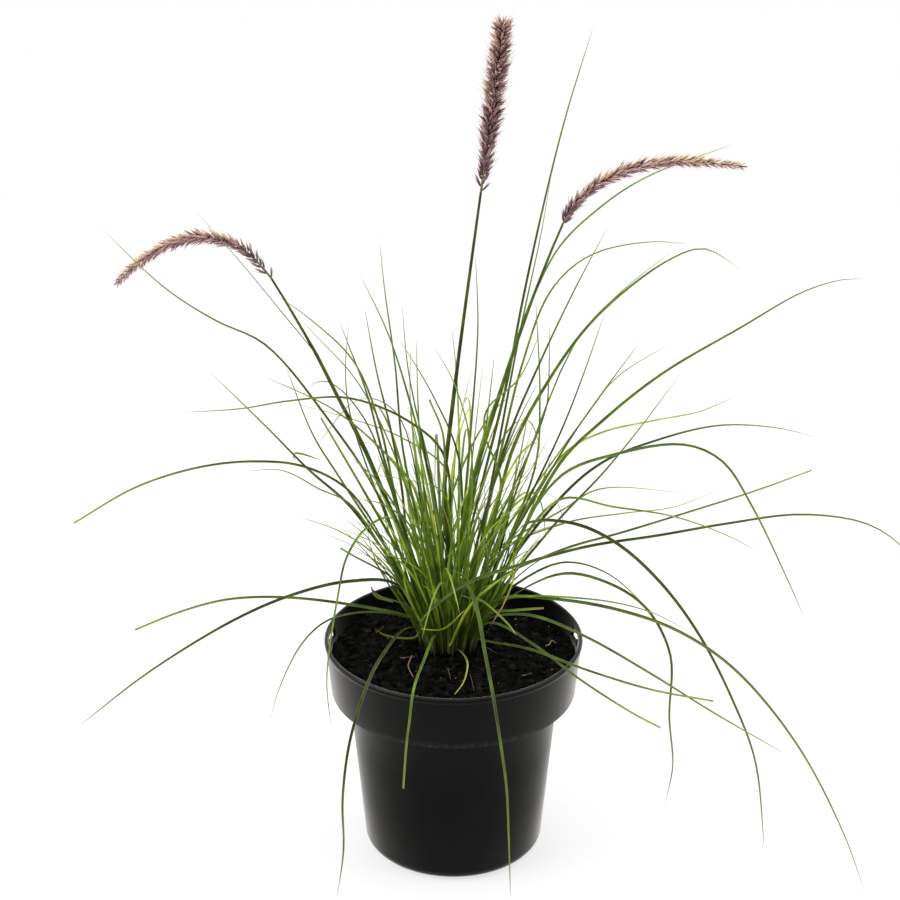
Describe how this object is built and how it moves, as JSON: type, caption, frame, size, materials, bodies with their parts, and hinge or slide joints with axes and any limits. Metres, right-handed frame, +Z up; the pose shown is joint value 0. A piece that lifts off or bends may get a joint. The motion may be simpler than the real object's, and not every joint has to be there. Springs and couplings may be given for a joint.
{
  "type": "potted swamp foxtail grass",
  "caption": "Clump of narrow arching foxtail grass with purple-brown bristly flower spikes on slim stalks, growing in dark soil in a stepped black plastic nursery pot.",
  "frame": {"origin": "middle of the underside of the pot, where it stands", "axes": "+Z up along the pot's axis, +X to the right as the plant is seen from the front, -Y towards the front"},
  "size_m": [0.6022, 0.4886, 0.636],
  "materials": {
    "pot": "satin moulded black plastic, dusty along the step",
    "soil": "moist, crumbly peat compost",
    "stalk": "smooth green grass stalk",
    "leaf": "semi-matt green grass blade with a pale midrib",
    "spike": "fine purple-brown bristles with straw tips"
  },
  "bodies": {
    "root": {"pot": "pot", "soil": "soil", "stalk_left": "stalk", "stalk_centre": "stalk", "stalk_right": "stalk", "spike_left": "spike", "spike_centre": "spike", "spike_right": "spike", "shoot_01": "leaf", "shoot_02": "leaf", "shoot_03": "leaf", "shoot_04": "leaf", "shoot_05": "leaf", "shoot_06": "leaf", "shoot_07": "leaf", "shoot_08": "leaf", "shoot_09": "leaf", "shoot_10": "leaf", "shoot_11": "leaf", "shoot_12": "leaf", "shoot_13": "leaf", "shoot_14": "leaf", "shoot_15": "leaf", "shoot_16": "leaf", "shoot_17": "leaf", "shoot_18": "leaf", "shoot_19": "leaf", "shoot_20": "leaf", "shoot_21": "leaf", "shoot_22": "leaf", "shoot_23": "leaf", "shoot_24": "leaf", "shoot_25": "leaf", "shoot_26": "leaf", "shoot_27": "leaf", "shoot_28": "leaf", "shoot_29": "leaf", "shoot_30": "leaf", "shoot_31": "leaf", "shoot_32": "leaf", "shoot_33": "leaf", "shoot_34": "leaf", "shoot_35": "leaf", "shoot_36": "leaf", "shoot_37": "leaf", "shoot_38": "leaf", "shoot_39": "leaf"}
  },
  "joints": []
}
